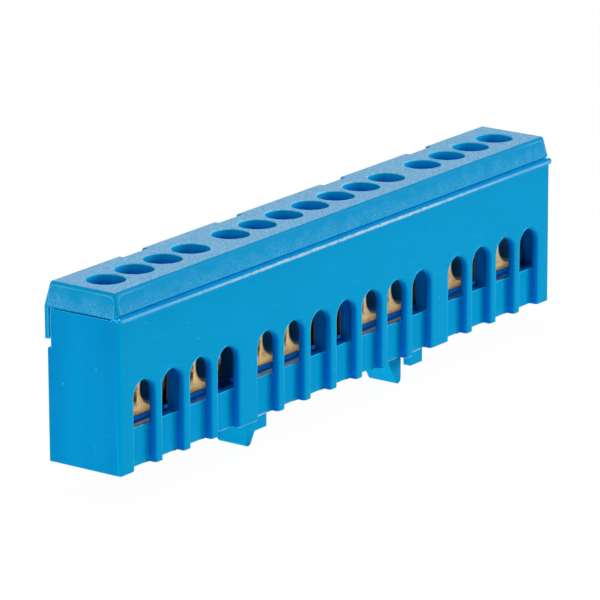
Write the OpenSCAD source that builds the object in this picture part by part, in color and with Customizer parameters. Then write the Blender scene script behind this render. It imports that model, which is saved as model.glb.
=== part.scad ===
// Neutral terminal block: a brass bar with clamp screws in an insulated housing that clips on a rail.
// X runs along the block, the wires enter from -Y, and Z points up from the tips of the rail hooks.
// Inside the modules, y is measured from the front face and z from the face that sits on the rail.

/* [Terminals] */
// Spacing of the terminals within a group
pitch = 6.5; // [6.4:0.1:9]
// Extra spacing between two groups of terminals
group_gap = 3; // [0:0.1:8]
// From each end of the block to its first terminal
end_margin = 5.75; // [5.5:0.05:9]
// From the front face to the row of screws
row_y = 6.7; // [6.4:0.1:7.4]
// Diameter of the wire bore
wire_bore_d = 5; // [3.6:0.1:5.4]
// Diameter of the countersunk mouth of the wire bore
wire_mouth_d = 5.9; // [5.6:0.1:6.2]

/* [Housing] */
// Depth of the housing, front to back
body_depth = 12.9; // [12.5:0.05:16]
// Height of the end walls
body_h = 22.5; // [21.5:0.1:28]
// Thickness of the front wall that the arches are cut in
front_wall = 1.35; // [1.2:0.05:1.8]
// Thickness of the panels behind the lower part of the arches
panel_wall = 1.3; // [0.8:0.05:1.6]
// Height of the panels
panel_h = 5.75; // [4:0.05:7]
// Step down from the top of the panels to the floor
ledge_step = 0.35; // [0.2:0.05:1.5]
// Thickness of the end walls
end_wall = 1.2; // [0.8:0.05:1.5]
// Thickness of the back wall
back_wall = 1.4; // [1.3:0.05:2]
// Height at which the back wall steps in for the skirt of the cover
rebate_h = 16.7; // [14:0.1:17.5]
// Depth of that step
rebate_depth = 0.7; // [0.3:0.05:0.75]
// Thickness of the floor
floor_t = 1.4; // [0.8:0.1:2]
// Thickness of the partitions and of the ribs under the floor
partition_t = 1; // [0.6:0.05:1.2]
// Gap between a partition and the bar
partition_gap = 0.5; // [0.2:0.05:0.9]
// How far the ribs under the floor stop above the rail
rib_lift = 1; // [0.2:0.1:2]
// Rounding of the upright edges at the front
corner_r = 0.7; // [0.2:0.1:1.2]
// Rounding of the upright edges at the back
back_r = 0.4; // [0.1:0.05:0.6]
// Radius of the bead along the top of the front wall
bead_r = 0.5; // [0.3:0.05:0.7]
// How far the bead stands out of the front face
bead_out = 0.46; // [0.2:0.02:0.6]
// How far the middle of the bead lies below the top of the front wall
bead_drop = 0.2; // [0:0.05:0.3]

/* [Wire slots] */
// Width of a slot at its narrowest
slot_w = 4.6; // [4.5:0.05:5]
// Rounding of the slot edges at the front face
slot_round = 0.6; // [0.3:0.05:0.7]
// Fillet where a slot meets its panel
slot_fillet = 0.2; // [0.1:0.05:0.7]
// Chamfer of the window edges at the inside
slot_chamfer = 0.4; // [0.1:0.05:0.45]
// How far the centre of the arch lies above the wire bore
arch_rise = 0.55; // [0:0.05:0.8]

/* [Rail foot] */
// Width of the rail
rail_w = 35; // [20:1:40]
// Thickness of the edge of the rail
rail_t = 1; // [0.8:0.1:1.5]
// Room for the rail in each direction
rail_gap = 0.2; // [0.1:0.05:0.4]
// Thickness of a hook
hook_t = 2; // [1.4:0.1:3]
// Width of a hook
hook_w = 5.2; // [4:0.1:7]
// From the rail face down to the tip of a hook
hook_drop = 5.55; // [4.2:0.05:8]
// How far a hook reaches in under the rail
hook_bite = 1.2; // [0.6:0.1:2]
// Height of the upright nose of a hook
hook_nose = 0.5; // [0.2:0.1:1]
// Radius of the round tip of a hook
hook_tip_r = 0.7; // [0.4:0.05:1]
// Width of the tabs that stand beside the rail
tab_w = 3.25; // [2:0.05:5]
// How far the tabs reach below the rail face
tab_drop = 2.1; // [1:0.1:3]
// From the edge of the rail to the tabs
tab_off = 0.7; // [0.3:0.05:2]

/* [Cover] */
// Height of the cap above the walls that it sits on
cap_h = 3.65; // [3.2:0.05:6]
// From the front face to the foot of the cap
cap_inset = 0.15; // [0:0.05:0.5]
// How far the front of the cap leans in
cap_front_lean = 0.7; // [0:0.05:1]
// How far the back of the cap leans in
cap_back_lean = 0.75; // [0.4:0.05:1]
// How far the ends of the cap lean in
cap_end_lean = 0.4; // [0:0.05:1]
// Rounding of the outer edges of the cap
cap_edge_r = 0.5; // [0.2:0.05:0.7]
// Thickness of the top of the cap
cap_t = 1.8; // [1:0.1:2.4]
// Gap between the cap and the end walls
cap_gap = 0.25; // [0.1:0.05:0.5]
// Gap between the cap and the bead
bead_gap = 0.25; // [0.1:0.05:0.4]
// Thickness of the rim inside the walls
rim_t = 0.8; // [0.5:0.05:1]
// Depth of the rim
rim_depth = 2; // [1:0.1:2.5]
// Room between the rim and the walls
rim_gap = 0.1; // [0.05:0.01:0.2]
// Thickness of the back skirt
skirt_t = 0.85; // [0.75:0.05:1.2]
// How far the skirt reaches below the cap
skirt_drop = 4.75; // [4:0.05:5.4]
// Gap between the skirt and the back wall
skirt_gap = 0.35; // [0.2:0.05:0.4]
// Diameter of a screwdriver well
well_d = 5.7; // [5.5:0.05:6]
// Chamfer round the mouth of a well
well_chamfer = 0.15; // [0.05:0.05:0.2]
// Wall round the wells below the cap
guide_wall = 0.7; // [0.4:0.05:0.9]
// How far the wells reach below the cap
guide_drop = 3.3; // [2:0.1:4]

/* [Cover clips] */
// Width of the slots over the clips
clip_w = 5.6; // [3:0.1:6]
// How far the slots cut into the top of the cap
clip_cut = 1.05; // [0.6:0.05:1.15]
// How far the slots reach down the back of the cap
clip_open = 2.4; // [0.8:0.1:2.8]
// How far a clip stands in from the skirt
clip_bite = 0.55; // [0.45:0.05:0.65]
// Height of a clip
clip_h = 1; // [0.6:0.1:1.4]
// From the foot of the skirt up to the clips
clip_lift = 0.9; // [0.5:0.1:1.4]
// Room round a clip in its groove
clip_gap = 0.12; // [0.05:0.01:0.2]

/* [Bus bar] */
// Thickness of the bar, front to back
bar_t = 6; // [5.6:0.1:6.4]
// Height of the bar
bar_h = 9; // [8.4:0.1:9.6]
// From the last terminal to the end of the bar
bar_end = 3.8; // [3.3:0.05:4]
// Height of the strip that the bar lies on
bar_seat_h = 0.55; // [0.3:0.05:1.4]
// How far that strip is narrower than the bar on each side
bar_seat_in = 0.4; // [0.1:0.05:1]
// Height of the wire bores above the underside of the bar
bore_h = 3.95; // [3.6:0.05:4.4]
// Chamfer along the edges of the bar
bar_edge = 0.25; // [0.1:0.05:0.4]

/* [Clamp screws] */
// Diameter of the thread
screw_d = 4; // [3:0.1:4.2]
// Radial room of the screw in its tapped hole
thread_gap = 0.04; // [0.02:0.01:0.08]
// Diameter of the head
head_d = 5.2; // [4.8:0.05:5.3]
// Height of the head
head_h = 2.4; // [1.8:0.1:2.6]
// Width of the driver slot
driver_w = 1; // [0.6:0.05:1.2]
// Depth of the driver slot
driver_depth = 1.3; // [0.8:0.1:1.6]
// Chamfer of the head and of the tip
screw_chamfer = 0.3; // [0.1:0.05:0.4]
// Travel of the screw from fully open to fully clamped
screw_travel = 4.2; // [3:0.1:4.3]
// Gap left under the head when fully clamped
head_gap = 0.15; // [0.1:0.05:0.4]
// Gap between the tip of an open screw and the wire bore
tip_gap = 0.1; // [0.05:0.05:0.3]

/* [Hidden] */
// Terminals in each group, and those of the right half that have a partition or a clip
groups = [4, 7, 4];
partition_after = [8, 11, 13];
clip_behind = [10, 13];
driver_turn = 40;
eps = 0.01;
$fn = 48;

// Places along the block
function before(g) = g == 0 ? 0 : before(g - 1) + groups[g - 1];
count = before(len(groups));
row_l = (count - 1) * pitch + (len(groups) - 1) * group_gap;
term_x = [for (g = [0 : len(groups) - 1]) for (k = [0 : groups[g] - 1])
    (before(g) + k) * pitch + g * group_gap - row_l / 2];
body_l = row_l + 2 * end_margin;
partition_x = [for (t = partition_after) for (side = [-1, 1]) side * (term_x[t - 1] + pitch / 2)];
clip_x = [for (t = clip_behind) for (side = [-1, 1]) side * term_x[t - 1]];

// Places from front to back
back_in = body_depth - back_wall;
rebate_y = body_depth - rebate_depth;
skirt_in = rebate_y + skirt_gap;
skirt_out = skirt_in + skirt_t;
bar_front = row_y - bar_t / 2;
bar_back = row_y + bar_t / 2;
bead_y = bead_r - bead_out;
mid_y = (skirt_out - bead_out) / 2;

// Heights
floor_z = panel_h - ledge_step;
bar_z = floor_z + bar_seat_h;
bar_top = bar_z + bar_h;
wire_z = bar_z + bore_h;
arch_z = wire_z + arch_rise;
seat_z = body_h + cap_gap;
bead_z = seat_z - bead_drop;
cap_z = seat_z + cap_h;
clip_z = seat_z - skirt_drop + clip_lift;
head_z = bar_top + head_gap + screw_travel;
tip_z = wire_z + wire_bore_d / 2 + tip_gap;

// Places of the rail foot, measured from the middle of the block
hook_in = rail_w / 2 + rail_gap;
hook_out = hook_in + hook_t;
nose_x = rail_w / 2 - hook_bite;
catch_z = -rail_t - rail_gap;
hook_y = row_y - hook_w / 2;
nose = [nose_x, catch_z - hook_nose];
tip = [hook_out - hook_tip_r, hook_tip_r - hook_drop];
tip_reach = nose - tip;
tip_turn = atan2(tip_reach[1], tip_reach[0]) + acos(hook_tip_r / norm(tip_reach));
tip_touch = tip + hook_tip_r * [cos(tip_turn), sin(tip_turn)];
tab_x = rail_w / 2 + tab_off;

housing_blue = [0, 0.58, 0.81];
cover_blue = [0.2, 0.6, 0.82];
brass = [0.85, 0.73, 0.5];
zinc = [0.75, 0.76, 0.78];

function two(i) = str(i < 10 ? "0" : "", i);
screw_names = [for (i = [1 : count]) str("screw_", two(i))];

// Moves a piece from the front bottom edge of the housing to the frame of the block
module placed() {
    translate([0, -mid_y, hook_drop]) children();
}

// A prism along X whose section is drawn as y and z
module along_x(length) {
    translate([-length / 2, 0, 0]) rotate([90, 0, 90]) linear_extrude(length) children();
}

// A prism along Y whose section is drawn as x and z
module along_y(from, to) {
    translate([0, to, 0]) rotate([90, 0, 0]) linear_extrude(to - from) children();
}

// A box centred in X
module slab(length, y0, y1, z0, z1) {
    translate([-length / 2, y0, z0]) cube([length, y1 - y0, z1 - z0]);
}

// Section of the outer walls, as seen from the end
module end_section(top) {
    polygon([[0, 0], [body_depth, 0], [body_depth, rebate_h], [rebate_y, rebate_h], [rebate_y, top],
        [0, top]]);
}

module outer_walls() {
    slab(body_l, 0, front_wall, 0, seat_z);
    slab(body_l, front_wall - eps, front_wall + panel_wall, 0, panel_h);
    for (side = [-1, 1])
        translate([side * (body_l - end_wall) / 2, 0, 0]) along_x(end_wall) end_section(body_h);
    along_x(body_l) intersection() {
        end_section(seat_z);
        translate([back_in, 0]) square([body_depth, seat_z]);
    }
}

// The round bead along the top of the front wall
module bead() {
    reach = body_l / 2 - bead_r;
    translate([-reach, bead_y, bead_z]) rotate([0, 90, 0]) cylinder(r = bead_r, h = 2 * reach);
    for (side = [-1, 1]) translate([side * reach, bead_y, bead_z]) sphere(bead_r);
}

// Floor, the strip under the bar, and the walls that part the chambers
module inner_walls() {
    slab(body_l - end_wall, front_wall, back_in + eps, floor_z - floor_t, floor_z);
    slab(row_l + 2 * bar_end, bar_front + bar_seat_in, bar_back - bar_seat_in, floor_z - eps, bar_z);
    for (x = partition_x) translate([x, 0, 0]) {
        slab(partition_t, front_wall - eps, bar_front - partition_gap, floor_z - eps, bar_top);
        slab(partition_t, bar_back + partition_gap, back_in + eps, floor_z - eps, bar_top);
        slab(partition_t, front_wall, back_in + eps, rib_lift, floor_z - eps);
    }
}

// One hook of the rail foot, on the right
module hook() {
    top = floor_z - floor_t + eps;
    along_y(hook_y, hook_y + hook_w) {
        polygon([[hook_out, top], [hook_in, top], [hook_in, catch_z], [nose_x, catch_z], nose, tip_touch, tip,
            [hook_out, tip[1]]]);
        translate(tip) circle(hook_tip_r);
    }
}

module rail_foot() {
    for (side = [0, 1]) mirror([side, 0, 0]) {
        hook();
        for (y = [[front_wall, front_wall + panel_wall], [back_in, body_depth]])
            translate([tab_x, y[0], -tab_drop]) cube([tab_w, y[1] - y[0], tab_drop + eps]);
    }
}

// Half of a slot's section: x from the middle of the slot, y into the wall
module slot_half(inner_fillet) {
    half = slot_w / 2;
    difference() {
        translate([0, -eps]) square([half, front_wall + 2 * eps]);
        if (inner_fillet) translate([half - slot_fillet, front_wall - slot_fillet]) difference() {
            square(slot_fillet + 2 * eps);
            circle(slot_fillet);
        }
    }
    translate([half - eps, -eps]) difference() {
        square([slot_round + eps, slot_round + eps]);
        translate([slot_round + eps, slot_round + eps]) circle(slot_round);
    }
}

module window_half() {
    half = slot_w / 2;
    slot_half(false);
    translate([half, front_wall - slot_chamfer])
        polygon([[-eps, 0], [0, 0], [slot_chamfer + eps, slot_chamfer + eps], [-eps, slot_chamfer + eps]]);
}

// The groove, the window above its panel, and the arch that closes them
module wire_slot() {
    for (side = [0, 1]) mirror([side, 0, 0]) {
        translate([0, 0, -eps]) linear_extrude(arch_z + eps) slot_half(true);
        translate([0, 0, panel_h]) linear_extrude(arch_z - panel_h) window_half();
    }
    translate([0, 0, arch_z]) rotate([-90, 0, 0]) rotate_extrude() window_half();
}

// What is cut off to round an upright edge that points to +X and -Y
module edge_cut(r, z0, z1) {
    translate([-r, r, z0]) linear_extrude(z1 - z0) difference() {
        translate([0, -r - eps]) square(r + eps);
        circle(r);
    }
}

module corner_cuts() {
    for (side = [0, 1]) mirror([side, 0, 0]) {
        translate([body_l / 2, 0, 0]) edge_cut(corner_r, -eps, seat_z + eps);
        translate([body_l / 2, body_depth, 0]) mirror([0, 1, 0]) edge_cut(back_r, -eps, rebate_h + eps);
    }
}

module clip_grooves() {
    for (x = clip_x) translate([x, 0, 0])
        slab(clip_w + 2 * clip_gap, skirt_in - clip_bite - clip_gap, skirt_in,
            clip_z - clip_gap, clip_z + clip_h + clip_gap);
}

module housing() color(housing_blue) placed() {
    difference() {
        union() {
            outer_walls();
            inner_walls();
            rail_foot();
        }
        for (x = term_x) translate([x, 0, 0]) wire_slot();
        corner_cuts();
        clip_grooves();
    }
    bead();
}

// A quarter round turned about Z, for the upper corners of the cap
module knob() {
    rotate_extrude($fn = 24) intersection() {
        circle(cap_edge_r, $fn = 24);
        square(cap_edge_r);
    }
}

// The leaning block of the cap, round at its upright and its top edges
module cap_block() {
    hull() for (side = [-1, 1]) {
        for (y = [cap_inset + cap_edge_r, skirt_out - cap_edge_r])
            translate([side * (body_l / 2 - cap_edge_r), y, seat_z])
                cylinder(r = cap_edge_r, h = eps, $fn = 24);
        for (y = [cap_inset + cap_front_lean + cap_edge_r, skirt_out - cap_back_lean - cap_edge_r])
            translate([side * (body_l / 2 - cap_end_lean - cap_edge_r), y, cap_z - cap_edge_r]) knob();
    }
}

module skirt() {
    difference() {
        slab(body_l, skirt_in, skirt_out, seat_z - skirt_drop, seat_z + eps);
        for (side = [0, 1]) mirror([side, 0, 0]) translate([body_l / 2, skirt_out, 0]) mirror([0, 1, 0])
            edge_cut(cap_edge_r, seat_z - skirt_drop - eps, seat_z + 2 * eps);
    }
}

// Room for the bead under the front edge of the cap
module bead_room() {
    translate([-body_l, bead_y, bead_z]) rotate([0, 90, 0]) cylinder(r = bead_r + bead_gap, h = 2 * body_l);
}

// The rim that goes inside the walls, its size cut down by inset
module rim(inset, z0, z1) {
    slab(body_l - 2 * (end_wall + rim_gap + inset), front_wall + rim_gap + inset,
        back_in - rim_gap - inset, z0, z1);
}

// The blocks that carry the wells down towards the bar, one for each group
module well_blocks() {
    reach = well_d / 2 + guide_wall;
    for (g = [0 : len(groups) - 1]) {
        x0 = term_x[before(g)] - reach;
        x1 = term_x[before(g + 1) - 1] + reach;
        translate([x0, row_y - reach, seat_z - guide_drop])
            cube([x1 - x0, 2 * reach, guide_drop + cap_h - cap_t + eps]);
    }
}

module well() {
    translate([0, row_y, seat_z - guide_drop - eps]) cylinder(d = well_d, h = guide_drop + cap_h + 2 * eps);
    translate([0, row_y, cap_z - well_chamfer])
        cylinder(d1 = well_d, d2 = well_d + 2 * (well_chamfer + eps), h = well_chamfer + eps);
}

// The slot over a clip, open at the top and at the back of the cap
module clip_slot() {
    front = skirt_out - cap_back_lean - clip_cut;
    slab(clip_w, front, skirt_in, seat_z - eps, cap_z + eps);
    slab(clip_w, front, skirt_out + eps, cap_z - clip_open, cap_z + eps);
}

module clip() {
    along_x(clip_w)
        polygon([[skirt_in + eps, clip_z], [skirt_in, clip_z], [skirt_in - clip_bite, clip_z + clip_h / 2],
            [skirt_in - clip_bite, clip_z + clip_h], [skirt_in + eps, clip_z + clip_h]]);
}

module cover() color(cover_blue) placed() difference() {
    union() {
        difference() {
            union() {
                cap_block();
                skirt();
                rim(0, seat_z - rim_depth, seat_z + eps);
            }
            rim(rim_t, seat_z - rim_depth - eps, cap_z - cap_t);
        }
        well_blocks();
        for (x = clip_x) translate([x, 0, 0]) clip();
    }
    for (x = term_x) translate([x, 0, 0]) well();
    for (x = clip_x) translate([x, 0, 0]) clip_slot();
    bead_room();
}

// A wire bore with a countersunk mouth on both faces of the bar
module wire_bore() {
    sink = (wire_mouth_d - wire_bore_d) / 2;
    translate([0, bar_front - eps, wire_z]) rotate([-90, 0, 0]) {
        cylinder(d = wire_bore_d, h = bar_t + 2 * eps);
        cylinder(d1 = wire_mouth_d + 2 * eps, d2 = wire_bore_d, h = sink + eps);
        translate([0, 0, bar_t - sink + eps])
            cylinder(d1 = wire_bore_d, d2 = wire_mouth_d + 2 * eps, h = sink + eps);
    }
}

module bus_bar() color(brass) placed() difference() {
    along_x(row_l + 2 * bar_end) translate([row_y - bar_t / 2, bar_z])
        polygon([[bar_edge, 0], [bar_t - bar_edge, 0], [bar_t, bar_edge], [bar_t, bar_h - bar_edge],
            [bar_t - bar_edge, bar_h], [bar_edge, bar_h], [0, bar_h - bar_edge], [0, bar_edge]]);
    for (x = term_x) translate([x, 0, 0]) {
        wire_bore();
        translate([0, row_y, wire_z]) cylinder(d = screw_d + 2 * thread_gap, h = bar_top - wire_z + eps);
    }
}

// A clamp screw in its open place, with the driver slot of each one turned a little further
module screw(i) color(zinc) placed() translate([term_x[i], row_y, 0]) rotate([0, 0, i * driver_turn])
    difference() {
        union() {
            translate([0, 0, tip_z])
                cylinder(d1 = screw_d - 2 * screw_chamfer, d2 = screw_d, h = screw_chamfer);
            translate([0, 0, tip_z + screw_chamfer])
                cylinder(d = screw_d, h = head_z - tip_z - screw_chamfer + eps);
            translate([0, 0, head_z]) cylinder(d = head_d, h = head_h - screw_chamfer);
            translate([0, 0, head_z + head_h - screw_chamfer])
                cylinder(d1 = head_d, d2 = head_d - 2 * screw_chamfer, h = screw_chamfer);
        }
        translate([-head_d, -driver_w / 2, head_z + head_h - driver_depth])
            cube([2 * head_d, driver_w, driver_depth + eps]);
    }

housing();
cover();
bus_bar();
for (i = [0 : count - 1])
    screw(i);
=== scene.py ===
"""Dresses the neutral terminal block: satin housing, grained cover, drawn brass bar and plated screws."""
import logging
import math
from dataclasses import dataclass, field
from enum import Enum
from typing import Dict, Iterable, List, Optional, Tuple, Union

import bmesh
import bpy
from mathutils import Euler, Matrix, Vector
from mathutils.bvhtree import BVHTree


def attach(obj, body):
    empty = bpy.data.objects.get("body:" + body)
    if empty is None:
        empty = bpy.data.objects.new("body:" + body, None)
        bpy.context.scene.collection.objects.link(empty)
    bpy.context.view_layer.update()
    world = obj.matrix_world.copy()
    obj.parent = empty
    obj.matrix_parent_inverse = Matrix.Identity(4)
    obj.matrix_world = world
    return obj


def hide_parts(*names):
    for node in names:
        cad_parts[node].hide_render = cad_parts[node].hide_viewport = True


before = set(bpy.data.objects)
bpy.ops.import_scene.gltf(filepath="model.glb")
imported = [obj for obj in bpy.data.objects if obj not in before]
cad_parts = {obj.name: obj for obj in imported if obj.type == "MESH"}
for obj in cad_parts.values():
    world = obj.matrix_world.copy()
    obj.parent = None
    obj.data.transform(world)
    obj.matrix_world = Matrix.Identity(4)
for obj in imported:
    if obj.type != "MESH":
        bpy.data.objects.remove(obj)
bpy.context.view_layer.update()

Point = Tuple[float, float, float]
Span = Tuple[float, float]
Colour = Tuple[float, float, float, float]
Tree = bpy.types.NodeTree
Node = bpy.types.Node
Source = Union[bpy.types.Node, bpy.types.NodeSocket]
Values = Dict[Union[str, int], object]
Links = Dict[Union[str, int], Source]

LOG = logging.getLogger("terminal_block")
MM = 0.001
WHITE: Colour = (1.0, 1.0, 1.0, 1.0)
# Height at which the cap sits on the housing
CAP_SEAT_MM = 28.3

# Settings of the nodes that do sums
TIMES = {"operation": "MULTIPLY"}
TIMES_PLUS = {"operation": "MULTIPLY_ADD"}
PLUS = {"operation": "ADD"}
MINUS = {"operation": "SUBTRACT"}
SIZE = {"operation": "ABSOLUTE"}
ABOVE = {"operation": "GREATER_THAN"}
BELOW = {"operation": "LESS_THAN"}
LARGER = {"operation": "MAXIMUM"}
LENGTH = {"operation": "LENGTH"}

# A Mix node set to colours, and the places of its factor and its two colours
RGBA = {"data_type": "RGBA"}
MIX_SHARE = 0
MIX_FROM = 6
MIX_TO = 7


class Kind(Enum):
    """Shader nodes that the finishes and the studio are made of."""

    PRINCIPLED = "ShaderNodeBsdfPrincipled"
    DIFFUSE = "ShaderNodeBsdfDiffuse"
    EMISSION = "ShaderNodeEmission"
    BACKGROUND = "ShaderNodeBackground"
    ADD_SHADER = "ShaderNodeAddShader"
    MIX_SHADER = "ShaderNodeMixShader"
    SURFACE = "ShaderNodeOutputMaterial"
    WORLD = "ShaderNodeOutputWorld"
    COORDINATES = "ShaderNodeTexCoord"
    GEOMETRY = "ShaderNodeNewGeometry"
    LIGHT_PATH = "ShaderNodeLightPath"
    MAPPING = "ShaderNodeMapping"
    NOISE = "ShaderNodeTexNoise"
    CELLS = "ShaderNodeTexVoronoi"
    MIX = "ShaderNodeMix"
    RANGE = "ShaderNodeMapRange"
    MATH = "ShaderNodeMath"
    VECTOR_MATH = "ShaderNodeVectorMath"
    SPLIT = "ShaderNodeSeparateXYZ"
    JOIN = "ShaderNodeCombineXYZ"
    BUMP = "ShaderNodeBump"


class Body(Enum):
    """Bodies of the block that a piece can ride on."""

    BLOCK = "block"


class Slot(Enum):
    """Material slots of the record."""

    HOUSING = "housing"
    COVER = "cover"
    BUS_BAR = "bus_bar"


class Zone(Enum):
    """Regions of the housing's skin, by material index, most of them with painted light or painted shade for
    the way they meet the light.
    """

    OUTSIDE = 0
    INSIDE = 1
    FLOOR = 2
    LIP = 3
    FOOT = 4
    EDGE = 5
    GROOVE = 6
    FLASH = 7
    END = 8
    CORNER = 9
    SHELF = 10
    SEAM = 11


class Skin(Enum):
    """Regions of the cover's skin, by material index."""

    SIDE = 0
    TOP = 1
    RIM = 2
    WELL = 3
    UNDER = 4


class Metal(Enum):
    """Regions of the bar's skin, by material index."""

    DRAWN = 0
    DRILLED = 1


def terminal_places() -> List[float]:
    """Finds the terminals along X, from left to right.

    Returns:
        Middle of each clamp screw in millimetres.
    """
    places = []
    for name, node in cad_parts.items():
        if name.startswith("screw"):
            corners = [node.matrix_world @ Vector(corner) for corner in node.bound_box]
            places.append(sum(corner.x for corner in corners) / len(corners) / MM)
    return sorted(places)


def linear(hex_colour: str) -> Colour:
    """Turns an sRGB hex colour to linear light.

    Args:
        hex_colour: six hex digits, with or without a leading hash.

    Returns:
        Linear red, green and blue, with an alpha of 1.
    """
    digits = hex_colour.lstrip("#")
    parts = [int(digits[i:i + 2], 16) / 255.0 for i in (0, 2, 4)]
    return tuple(c / 12.92 if c <= 0.04045 else ((c + 0.055) / 1.055) ** 2.4 for c in parts) + (1.0,)


def repeat(size_mm: float) -> float:
    """Turns the size of a pattern's repeat in millimetres to the scale of a texture."""
    return 1.0 / (size_mm * MM)


def feed(tree: Tree, node: Node, links: Links) -> None:
    """Joins what feeds a node to its input sockets.

    Args:
        tree: the node tree.
        node: the node to feed.
        links: a socket, or a node that stands for its first output in use, by the input's name or index.
    """
    for key, source in links.items():
        if isinstance(source, bpy.types.Node):
            source = next(output for output in source.outputs if output.enabled)
        tree.links.new(source, node.inputs[key])


def add_node(tree: Tree, kind: Kind, settings: Optional[Dict[str, str]] = None,
             values: Optional[Values] = None, links: Optional[Links] = None) -> Node:
    """Adds one shader node with its settings, socket values and incoming links.

    Args:
        tree: the node tree that gets the node.
        kind: the kind of node.
        settings: attributes of the node.
        values: default values of its input sockets, by name or index.
        links: what feeds its input sockets, by name or index.

    Returns:
        The new node.
    """
    node = tree.nodes.new(kind.value)
    for name, value in (settings or {}).items():
        setattr(node, name, value)
    for key, value in (values or {}).items():
        node.inputs[key].default_value = value
    feed(tree, node, links or {})
    return node


def new_material(name: str, values: Values) -> Tuple[bpy.types.Material, Tree, Node]:
    """Makes a material with one Principled shader.

    Args:
        name: name of the material.
        values: the shader's values that are the same all over the surface.

    Returns:
        The material, its node tree and the Principled node.
    """
    material = bpy.data.materials.new(name)
    material.use_nodes = True
    tree = material.node_tree
    tree.nodes.clear()
    shader = add_node(tree, Kind.PRINCIPLED, values=values)
    add_node(tree, Kind.SURFACE, links={"Surface": shader})
    return material, tree, shader


@dataclass(frozen=True)
class SatinPolyamide:
    """Polyamide moulded against polished steel: clear even blue, soft gloss, some dust, fine scratches."""

    name: str = "moulded_polyamide_satin"
    colour: str = "#0096CA"
    tone: str = "#0090C2"
    dust: str = "#50B4DC"
    scratch: str = "#0CA6DE"
    roughness: float = 0.34
    roughness_spread: Span = (0.05, 0.08)
    gloss: float = 0.012
    flow_mm: float = 9.0
    flow_scale: Point = (1.0, 1.0, 1.0)
    ripple_mm: float = 1.1
    ripple_height_mm: float = 0.02
    ripple_strength: float = 0.05
    dust_cell_mm: float = 2.0
    dust_mm: float = 0.19
    dust_core: float = 0.3
    dust_share: float = 0.8
    dust_free: float = 0.72
    scratch_mm: float = 0.3
    scratch_turn: Point = (0.0, 0.55, 0.0)
    scratch_scale: Point = (0.07, 1.0, 1.0)
    scratch_noise: Span = (0.62, 0.76)
    scratch_share: float = 0.3

    def build(self) -> bpy.types.Material:
        """Builds the material.

        Returns:
            The finished material.
        """
        material, tree, shader = new_material(self.name, {"Specular IOR Level": self.gloss})
        place = add_node(tree, Kind.COORDINATES).outputs["Object"]
        # Slow changes of tone where the melt flowed
        drift = add_node(tree, Kind.MAPPING, values={"Scale": self.flow_scale}, links={"Vector": place})
        flow = add_node(tree, Kind.NOISE, values={"Scale": repeat(self.flow_mm), "Detail": 3.0},
                        links={"Vector": drift})
        tint = add_node(tree, Kind.MIX, RGBA, {MIX_FROM: linear(self.colour), MIX_TO: linear(self.tone)},
                        {MIX_SHARE: flow})
        # Fine handling scratches, drawn wider than real ones so that they show
        along = add_node(tree, Kind.MAPPING,
                         values={"Rotation": self.scratch_turn, "Scale": self.scratch_scale},
                         links={"Vector": place})
        hair = add_node(tree, Kind.NOISE, values={"Scale": repeat(self.scratch_mm), "Detail": 1.0},
                        links={"Vector": along})
        low, high = self.scratch_noise
        lines = add_node(tree, Kind.RANGE,
                         values={"From Min": low, "From Max": high, "To Max": self.scratch_share},
                         links={"Value": hair})
        marked = add_node(tree, Kind.MIX, RGBA, {MIX_TO: linear(self.scratch)},
                          {MIX_SHARE: lines, MIX_FROM: tint})
        # Dust specks in a few of the cells, drawn a little coarse
        cells = add_node(tree, Kind.CELLS, values={"Scale": repeat(self.dust_cell_mm)},
                         links={"Vector": place})
        border = self.dust_mm / self.dust_cell_mm
        near = add_node(tree, Kind.RANGE,
                        values={"From Min": border, "From Max": self.dust_core * border,
                                "To Max": self.dust_share}, links={"Value": cells.outputs["Distance"]})
        pick = add_node(tree, Kind.MATH, ABOVE, {1: self.dust_free}, {0: cells.outputs["Color"]})
        speck = add_node(tree, Kind.MATH, TIMES, links={0: near, 1: pick})
        dusted = add_node(tree, Kind.MIX, RGBA, {MIX_TO: linear(self.dust)},
                          {MIX_SHARE: speck, MIX_FROM: marked})
        # Slight ripple left by the polishing of the mould
        ripple = add_node(tree, Kind.NOISE, values={"Scale": repeat(self.ripple_mm), "Detail": 2.0},
                          links={"Vector": place})
        less, more = self.roughness_spread
        rough = add_node(tree, Kind.RANGE,
                         values={"To Min": self.roughness - less, "To Max": self.roughness + more},
                         links={"Value": ripple})
        bump = add_node(tree, Kind.BUMP,
                        values={"Strength": self.ripple_strength, "Distance": self.ripple_height_mm * MM},
                        links={"Height": ripple})
        feed(tree, shader, {"Base Color": dusted, "Roughness": rough, "Normal": bump})
        return material


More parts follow.
